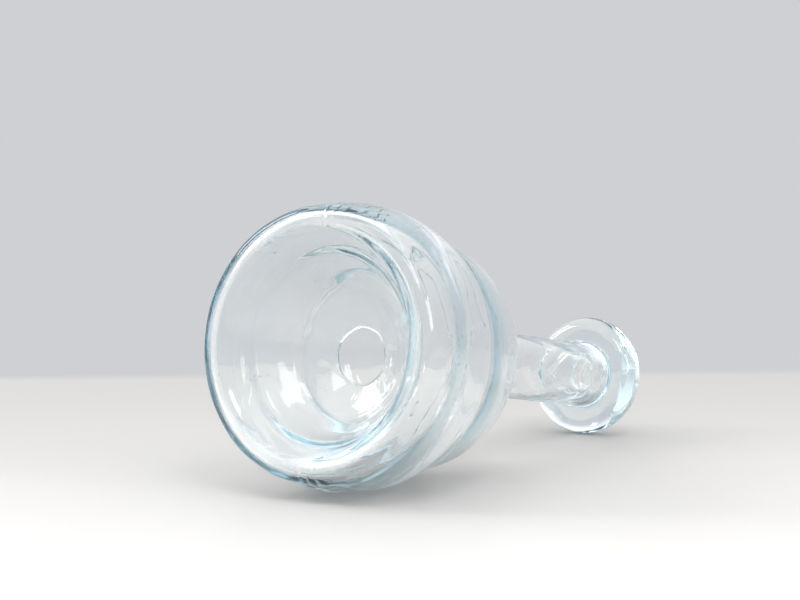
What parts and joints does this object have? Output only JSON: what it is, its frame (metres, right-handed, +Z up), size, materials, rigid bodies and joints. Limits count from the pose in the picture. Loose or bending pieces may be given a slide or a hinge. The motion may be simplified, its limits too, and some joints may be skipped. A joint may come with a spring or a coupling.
{
  "type": "wasp trap",
  "caption": "Bell-shaped clear glass wasp trap lying on its side, with a re-entrant funnel base, a waisted body, a long neck, a thick lip ring and a glass stopper.",
  "frame": {"origin": "middle of the trap's bounding box, on the surface it lies on", "axes": "+Z up; the trap lies on its side with its base at -X and its mouth at +X, the axis falling 10.1 degrees towards the mouth; +Y is sideways"},
  "size_m": [0.2028, 0.1, 0.1005],
  "materials": {
    "aqua_glass": "smooth, slightly wavy",
    "clear_glass": "smooth"
  },
  "bodies": {
    "vessel": {"bell_body": "aqua_glass", "entrance_funnel": "aqua_glass", "lip_ring": "aqua_glass"},
    "stopper": {"stopper": "clear_glass"}
  },
  "joints": [
    {"name": "stopper_lift", "type": "slide", "parent": "vessel", "child": "stopper", "axis": [0.9845, 0, -0.1754], "range_m": [0, 0.04]}
  ]
}
